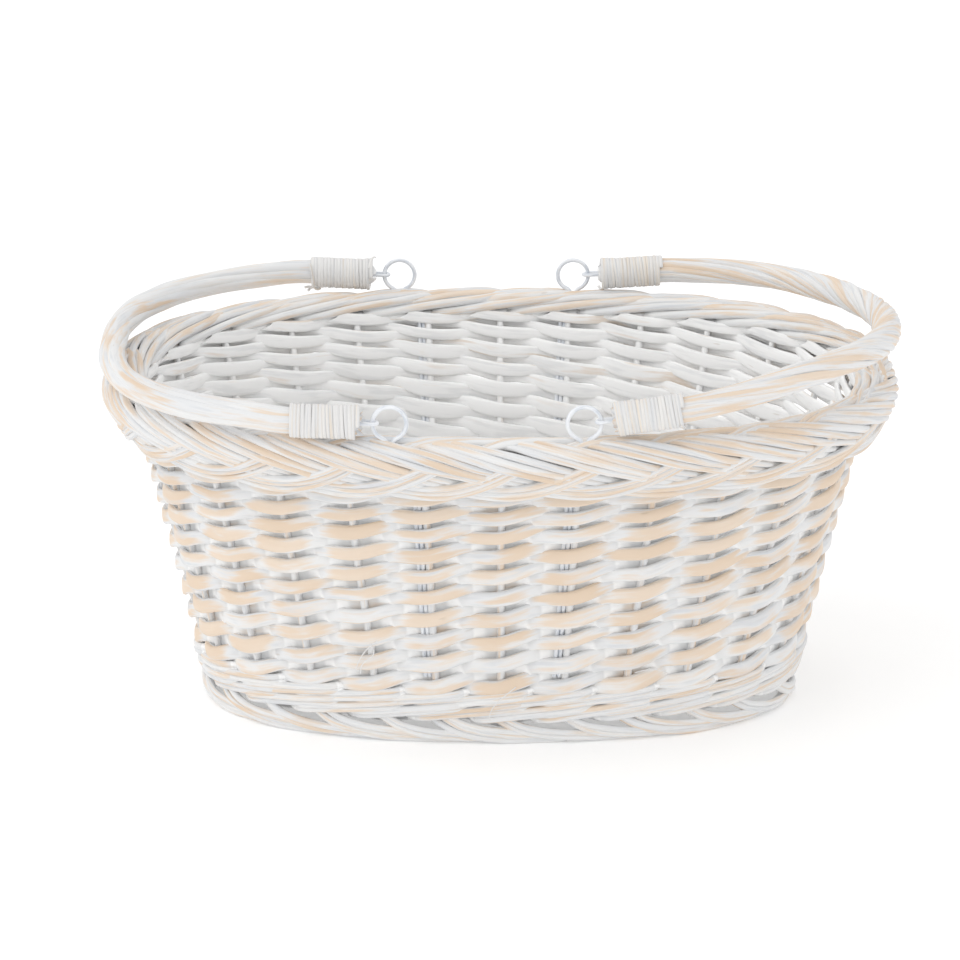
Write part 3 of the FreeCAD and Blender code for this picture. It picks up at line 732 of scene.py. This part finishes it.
def rim_border():
    """A strand of three rods per stake: over the ridge, down, round the lower edge and back up."""
    rods = Rods(SEED_RIM)
    rng = rods.rng
    step = pitch(RIM_LEVEL) * RIM_STEP
    keys = np.array(RIM_KEYS, float)
    keys[:, 2] *= RIM_LAYERS[1] - RIM_LAYERS[0]
    line = smoothed(keys, 2.2, 2)
    along, layer = line[:, 0], line[:, 2]
    way_along, way_down = unit(np.gradient(line[:, :2], axis=0)).T
    grown = (1 + RIM_RIDGE_THICKER * ramp(along, *RIM_RIDGE)
             + RIM_DOWN_THICKER * ramp(along, *RIM_DOWN) * (along < RIM_LOWER_EDGE))
    worn = 0.28 + 0.36 * ramp(layer, 0.5, 2.5)
    for stake in range(STAKES):
        shift = rng.uniform(-2, 2)
        for order in (-1, 0, 1):
            radius = RIM_ROD * rng.uniform(0.92, 1.08) * grown
            aside = order * RIM_SPREAD * grown + 0.35 * wander(rng, along / 25)
            at = stake + (along + way_down * aside + shift) / step
            depth = line[:, 1] - way_along * aside
            bend = RIM_LAYERS[0] + layer + 0.35 * wander(rng, along / 20)
            path, facing = rim_point(at, depth, bend)
            rods.add(path, facing, radius * 1.04, radius, wear=worn, shear=(0, 2.0))
    for outward, level, radius in RIM_CORES:
        at = np.linspace(0, STAKES, RIM_CORE_POINTS)
        path = wall(at, level + 0.5 * wander(rng, at), outward + 0.5 * wander(rng, at))
        rods.add(path, outward_at(at, level), radius, radius, wear=0.1)
    rods.mesh("rim_plait_rods", willow, "basket", "willow", "border_plait_strands")


# ---------------------------------------------------------------- ring hangers

RING_BEND = 9.2
RING_LEVEL = 204.6
RING_ROW = 155.3
RING_X = {"left": -60.0, "right": 44.5}
RING_STAKE = {"left": -1, "right": 1}
RING_WIRE = 1.2
RING_POINTS = 60
# The bend from the ring into each shank.
NECK = 2.6
# The two shanks run down inside the weave, beside a stake: levels and distances out.
SHANK_GAP = 2.45
SHANK_TO_STAKE = 4.6
SHANK_BEND = 20.0
SHANK_POINTS = ((186.0, 0.6), (172.0, 0.0), (42.0, 0.0))


def end_number(handle, end):
    """0 to 3 for left front, left back, right front and right back."""
    return 2 * (handle == "right") + (end == "back")


def ring_hanger(handle, end):
    """One wire bent to a ring, its two ends run down beside a stake inside the weave."""
    ring_x = RING_X[handle]
    half_gap = SHANK_GAP / 2
    neck_x = half_gap + NECK
    neck_level = RING_LEVEL - math.sqrt((RING_BEND + NECK) ** 2 - neck_x ** 2)
    lean = math.asin(neck_x / (RING_BEND + NECK))

    def shank(sign):
        points = [np.array([ring_x + sign * half_gap, -RING_ROW, neck_level])]
        for level, outward in SHANK_POINTS:
            aside = (-SHANK_TO_STAKE + sign * half_gap) / pitch(level)
            points.append(wall(RING_STAKE[handle] + aside, level, outward))
        return rounded(points, SHANK_BEND)

    turn = np.linspace(-math.pi / 2 - lean, -math.pi / 2 - TAU + lean, RING_POINTS)
    ring = (np.array([ring_x, -RING_ROW, RING_LEVEL])
            + RING_BEND * np.stack([np.cos(turn), 0 * turn, np.sin(turn)], -1))
    line = even(np.concatenate([shank(-1)[::-1], ring, shank(1)]), 1.0)
    line[1:-1] = (line[:-2] + 2 * line[1:-1] + line[2:]) / 4
    if end == "back":
        line[:, 1] *= -1
    rods = Rods(SEED_RINGS + end_number(handle, end))
    facing = np.array([0.0, -1.0 if end == "front" else 1.0, 0.05])
    rods.add(line, facing, RING_WIRE, RING_WIRE, sides=12, uneven=0.02)
    node = "ring_hanger_%s_%s" % (handle, end)
    rods.mesh(node + "_wire", wire, "basket", "wire", node)


# ---------------------------------------------------------------- handles

# The middle line of each bow from its back ring to its front ring: x, y and height above them.
BOWS = {
    "left": ((-132, 151, 2.4), (-163, 137, 2.0), (-191, 112, 1.8), (-210, 76, 1.6),
             (-219, 38, 1.6), (-220, 0, 1.6), (-218, -38, 1.6), (-209, -76, 1.6),
             (-190, -110, 1.8), (-162, -134, 2.0), (-131, -149, 2.4)),
    "right": ((134, 152, 3.5), (162, 136, 5.0), (188, 107, 6.5), (207, 68, 8.5), (218, 28, 11.0),
              (219, -14, 14.0), (212, -56, 17.0), (194, -94, 19.5), (167, -122, 18.5),
              (139, -140, 13.5)),
}
# The angle at which each bound end rises from its ring, in degrees.
RISES = {("left", "front"): 2.0, ("left", "back"): 2.0,
         ("right", "front"): 8.0, ("right", "back"): 3.0}
# Each handle's rods: how many, their radius and flatness, the circle they lie on and how far it
# swells, their turns about the core, the core's radius, and their wear.
ROPES = {
    "left": {"rods": 8, "radius": 2.5, "flat": 1.3, "circle": 4.9, "loose": 0.04, "turns": 0.75,
             "core": 3.6, "wear": 0.5},
    "right": {"rods": 13, "radius": 1.75, "flat": 1.25, "circle": 5.7, "loose": 0.16, "turns": 2.0,
              "core": 4.6, "wear": 0.66},
}
BINDING_START, BINDING_LENGTH = 17.0, 36.0
BINDING_PITCH = 1.95
BINDING_RADIUS = 8.55
BINDING_POINTS = 26
CANE_WIDE, CANE_THICK = 1.15, 0.75
# A tail leaves the binding near each end: points on it, its turn, lift and drift.
TAIL_POINTS, TAIL_TURN, TAIL_LIFT, TAIL_DRIFT = 14, 1.5, 1.6, 3.0
TAILS = ((BINDING_START + 1.2, -1), (BINDING_START + BINDING_LENGTH - 2, 1))
# The knot under the left handle's back binding: along the handle, across and up from its middle.
KNOT_KEYS = (((50, -5, -7.5), (52, -3, -9.6), (49.5, -1, -11.4), (47, -2, -10.2),
              (49, -4, -8.8), (53, -4, -10.4), (55, -3, -12.6)),
             ((46, -5, -8.0), (48, -3.5, -9.4), (51, -2.5, -10.6), (54, -3, -9.8),
              (57, -4, -10.8)))
EYE_BEND, EYE_START, EYE_END = 2.7, 9.2, 38.0
EYE_WIRE = (1.15, 1.05)


def end_frame(handle, end):
    """The ring's centre and three directions: out along the bound end, across and up."""
    side = 1 if end == "back" else -1
    way = -1 if handle == "left" else 1
    rise = math.radians(RISES[handle, end])
    centre = np.array([RING_X[handle], side * RING_ROW, RING_LEVEL])
    out = np.array([way * math.cos(rise), 0, math.sin(rise)])
    across = np.array([0, way, 0.0])
    return centre, out, across, np.cross(out, across)


def bow_line(handle):
    """The handle's middle line, from inside its back binding to inside its front binding."""
    ends = {}
    for end in ("back", "front"):
        centre, out, _, _ = end_frame(handle, end)
        ends[end] = [centre + out * (BINDING_START + reach)
                     for reach in (0.5, 14, 28, BINDING_LENGTH + 5)]
    middle = [np.array([x, y, RING_LEVEL + rise]) for x, y, rise in BOWS[handle]]
    return smoothed(ends["back"] + middle + ends["front"][::-1], 2.5)


def handle_bow(handle):
    """The handle's rods, bound at both ends and roped between them."""
    rods = Rods(SEED_BOWS + HANDLES.index(handle))
    rng = rods.rng
    rope = ROPES[handle]
    line = bow_line(handle)
    along = unit(np.gradient(line, axis=0))
    across = unit(np.cross(UP, along))
    up = np.cross(along, across)
    run = run_along(line)
    bound = BINDING_LENGTH + 6
    share = np.clip((run - bound) / (run[-1] - 2 * bound), 0, 1)
    twist = TAU * rope["turns"] * (share - np.sin(TAU * share) / TAU * 0.5)
    swell = 1 + rope["loose"] * np.sin(math.pi * share) ** 2
    for number in range(rope["rods"]):
        angle = TAU * number / rope["rods"] + twist + 0.12 * wander(rng, run / 50)
        circle = rope["circle"] * swell * (1 + 0.07 * wander(rng, run / 35))
        radial = across * np.cos(angle)[:, None] + up * np.sin(angle)[:, None]
        # Every second rod is laid with its thick end at the back.
        taper = np.linspace(1.1, 0.9, len(run)) if number % 2 else np.linspace(0.9, 1.1, len(run))
        size = rope["radius"] * taper * (1 + 0.05 * wander(rng, run / 30))
        keep = slice(rng.integers(0, 2), len(run) - rng.integers(0, 2))
        path = line + radial * circle[:, None]
        worn = rope["wear"] + 0.25 * wander(rng, run / 40)
        rods.add(path[keep], radial[keep], size[keep] * rope["flat"], size[keep] * 0.95,
                 wear=worn[keep], sides=12, shear=(1.5, 1.5), uneven=0.05)
    rods.add(line[2:-2], up[2:-2], rope["core"], rope["core"], wear=0.3)
    node = "handle_" + handle
    rods.mesh(node + "_rope", willow, node, "willow", node + "_core_rod", node + "_twisted_rods")


def handle_binding(handle, end):
    """Split cane wound round the bound end, its turns uneven and its two tails lifting off."""
    rods = Rods(SEED_BINDINGS + end_number(handle, end))
    rng = rods.rng
    centre, out, across, up = end_frame(handle, end)
    turns = BINDING_LENGTH / BINDING_PITCH
    turn = np.arange(0, turns, 1 / BINDING_POINTS)
    at = BINDING_START + BINDING_LENGTH * turn / turns + 0.32 * wander(rng, turn * 1.3)
    at += 0.45 * np.sin(TAU * turn + rng.uniform(0, TAU)) * wander(rng, turn / 4)
    radius = BINDING_RADIUS + 0.35 * (1 - ramp(at, BINDING_START, BINDING_START + 9))
    radius = radius + 0.16 * wander(rng, turn * 2.1)

    def around(angle, reach, distance):
        radial = across * np.cos(angle)[:, None] + up * np.sin(angle)[:, None]
        return centre + out * reach[:, None] + radial * distance[:, None], radial

    path, radial = around(TAU * turn, at, radius)
    worn = 0.46 + 0.26 * wander(rng, turn / 3)
    rods.add(path, radial, CANE_WIDE, CANE_THICK, wear=worn, sides=8, uneven=0.1)
    share = np.linspace(0, 1, TAIL_POINTS)
    for near, side in TAILS:
        path, radial = around(rng.uniform(0, TAU) + TAIL_TURN * share,
                              near + side * TAIL_DRIFT * share ** 1.5,
                              BINDING_RADIUS + 0.5 + TAIL_LIFT * share ** 2)
        rods.add(path, radial, 0.85, 0.5, wear=0.5, sides=8)
    if (handle, end) == ("left", "back"):
        for keys in KNOT_KEYS:
            line = smoothed(keys, 0.8)
            line = centre + out * line[:, :1] + across * line[:, 1:2] + up * line[:, 2:]
            rods.add(line, across, 0.8, 0.6, wear=0.5, sides=8)
    node = "handle_%s_binding_%s" % (handle, end)
    rods.mesh(node + "_cane", cane, "handle_" + handle, "cane", node)


def handle_eye(handle, end):
    """A wire loop through the ring, its ends in the bound rods; one is only an open hook."""
    centre, out, across, up = end_frame(handle, end)
    side = [(EYE_START + 6, EYE_BEND * 0.8), (EYE_END, EYE_BEND * 0.6)]
    turn = np.linspace(math.pi / 2, 1.5 * math.pi, 20)
    loop = side[::-1]
    loop += [(EYE_START + EYE_BEND * math.cos(a), EYE_BEND * math.sin(a)) for a in turn]
    if (handle, end) == ("left", "front"):
        loop += [(EYE_START + 2.6, -EYE_BEND * 1.1), (EYE_START + 5.4, -EYE_BEND * 1.25)]
    else:
        loop += [(x, -y) for x, y in side]
    line = even(np.array([centre + out * x + across * y for x, y in loop]), 0.8)
    rods = Rods(SEED_EYES + end_number(handle, end))
    rods.add(line, up, *EYE_WIRE, sides=12, uneven=0.02)
    node = "handle_%s_eye_%s" % (handle, end)
    rods.mesh(node + "_wire", wire, "handle_" + handle, "wire", node)


wall_weavers()
base_sticks()
base_weave()
side_stakes()
foot_border()
wale()
rim_border()
for handle in HANDLES:
    handle_bow(handle)
    for end in ("front", "back"):
        ring_hanger(handle, end)
        handle_binding(handle, end)
        handle_eye(handle, end)

# ---------------------------------------------------------------- stage

# Lengths here are in metres and angles in degrees. Elevations are above the ground, and the
# azimuth turns from the front towards the right.
FLOOR_REACH = 8.0
FLOOR_PALE, FLOOR_PALER = (0.88, 0.88, 0.88, 1), (0.90, 0.90, 0.90, 1)
FLOOR_GLOW = 0.2
WHITE = (1, 1, 1, 1)
WORLD_BRIGHTNESS = 0.94
SUN_ELEVATION, SUN_AZIMUTH, SUN_SPREAD, SUN_STRENGTH = 45, -62, 60, 0.5
CAMERA_ELEVATION, CAMERA_DISTANCE = 17.5, 2.5
CAMERA_AIM = (-0.0115, 0.0, 0.124)
CAMERA_LENS, CAMERA_SENSOR = 163.3, 36.0


def link(name, data):
    thing = bpy.data.objects.new(name, data)
    bpy.context.scene.collection.objects.link(thing)
    return thing


def pale_floor():
    """A plain white floor; soft shadows gather only under the basket."""
    material, tree, shader = new_material("pale_floor")
    mottle = add_node(tree, "TexNoise", {"Scale": 3.0, "Detail": 2.0}).outputs["Fac"]
    colour = mix_colour(tree, mottle, FLOOR_PALE, FLOOR_PALER)
    tree.links.new(colour, shader.inputs["Base Color"])
    shader.inputs["Roughness"].default_value = 0.9
    shader.inputs["Emission Color"].default_value = WHITE
    shader.inputs["Emission Strength"].default_value = FLOOR_GLOW
    mesh = bpy.data.meshes.new("floor")
    corners = [(x * FLOOR_REACH, y * FLOOR_REACH, 0)
               for x, y in ((-1, -1), (1, -1), (1, 1), (-1, 1))]
    mesh.from_pydata(corners, [], [(0, 1, 2, 3)])
    mesh.materials.append(material)
    link("floor", mesh)


def add_world():
    world = bpy.data.worlds.new("studio")
    world.use_nodes = True
    background = world.node_tree.nodes["Background"]
    background.inputs["Color"].default_value = WHITE
    background.inputs["Strength"].default_value = WORLD_BRIGHTNESS
    bpy.context.scene.world = world


def add_sun():
    """A far, wide lamp, like a big softbox."""
    data = bpy.data.lights.new("key", "SUN")
    data.angle = math.radians(SUN_SPREAD)
    data.energy = SUN_STRENGTH
    elevation, azimuth = math.radians(SUN_ELEVATION), math.radians(SUN_AZIMUTH)
    towards = Vector((math.sin(azimuth) * math.cos(elevation),
                      -math.cos(azimuth) * math.cos(elevation), math.sin(elevation)))
    lamp = link("key", data)
    lamp.rotation_euler = towards.to_track_quat("Z", "Y").to_euler()
    lamp.location = towards * 3


def add_camera():
    """Looks down at the basket from the front, far off, as in a product photograph."""
    elevation = math.radians(CAMERA_ELEVATION)
    aim = Vector(CAMERA_AIM)
    data = bpy.data.cameras.new("camera")
    data.sensor_width = CAMERA_SENSOR
    data.lens = CAMERA_LENS
    data.clip_end = 50.0
    camera = link("camera", data)
    camera.location = aim + CAMERA_DISTANCE * Vector((0, -math.cos(elevation), math.sin(elevation)))
    camera.rotation_euler = (aim - camera.location).to_track_quat("-Z", "Y").to_euler()
    bpy.context.scene.camera = camera


pale_floor()
add_world()
add_sun()
add_camera()
bpy.context.scene.view_settings.view_transform = "Standard"
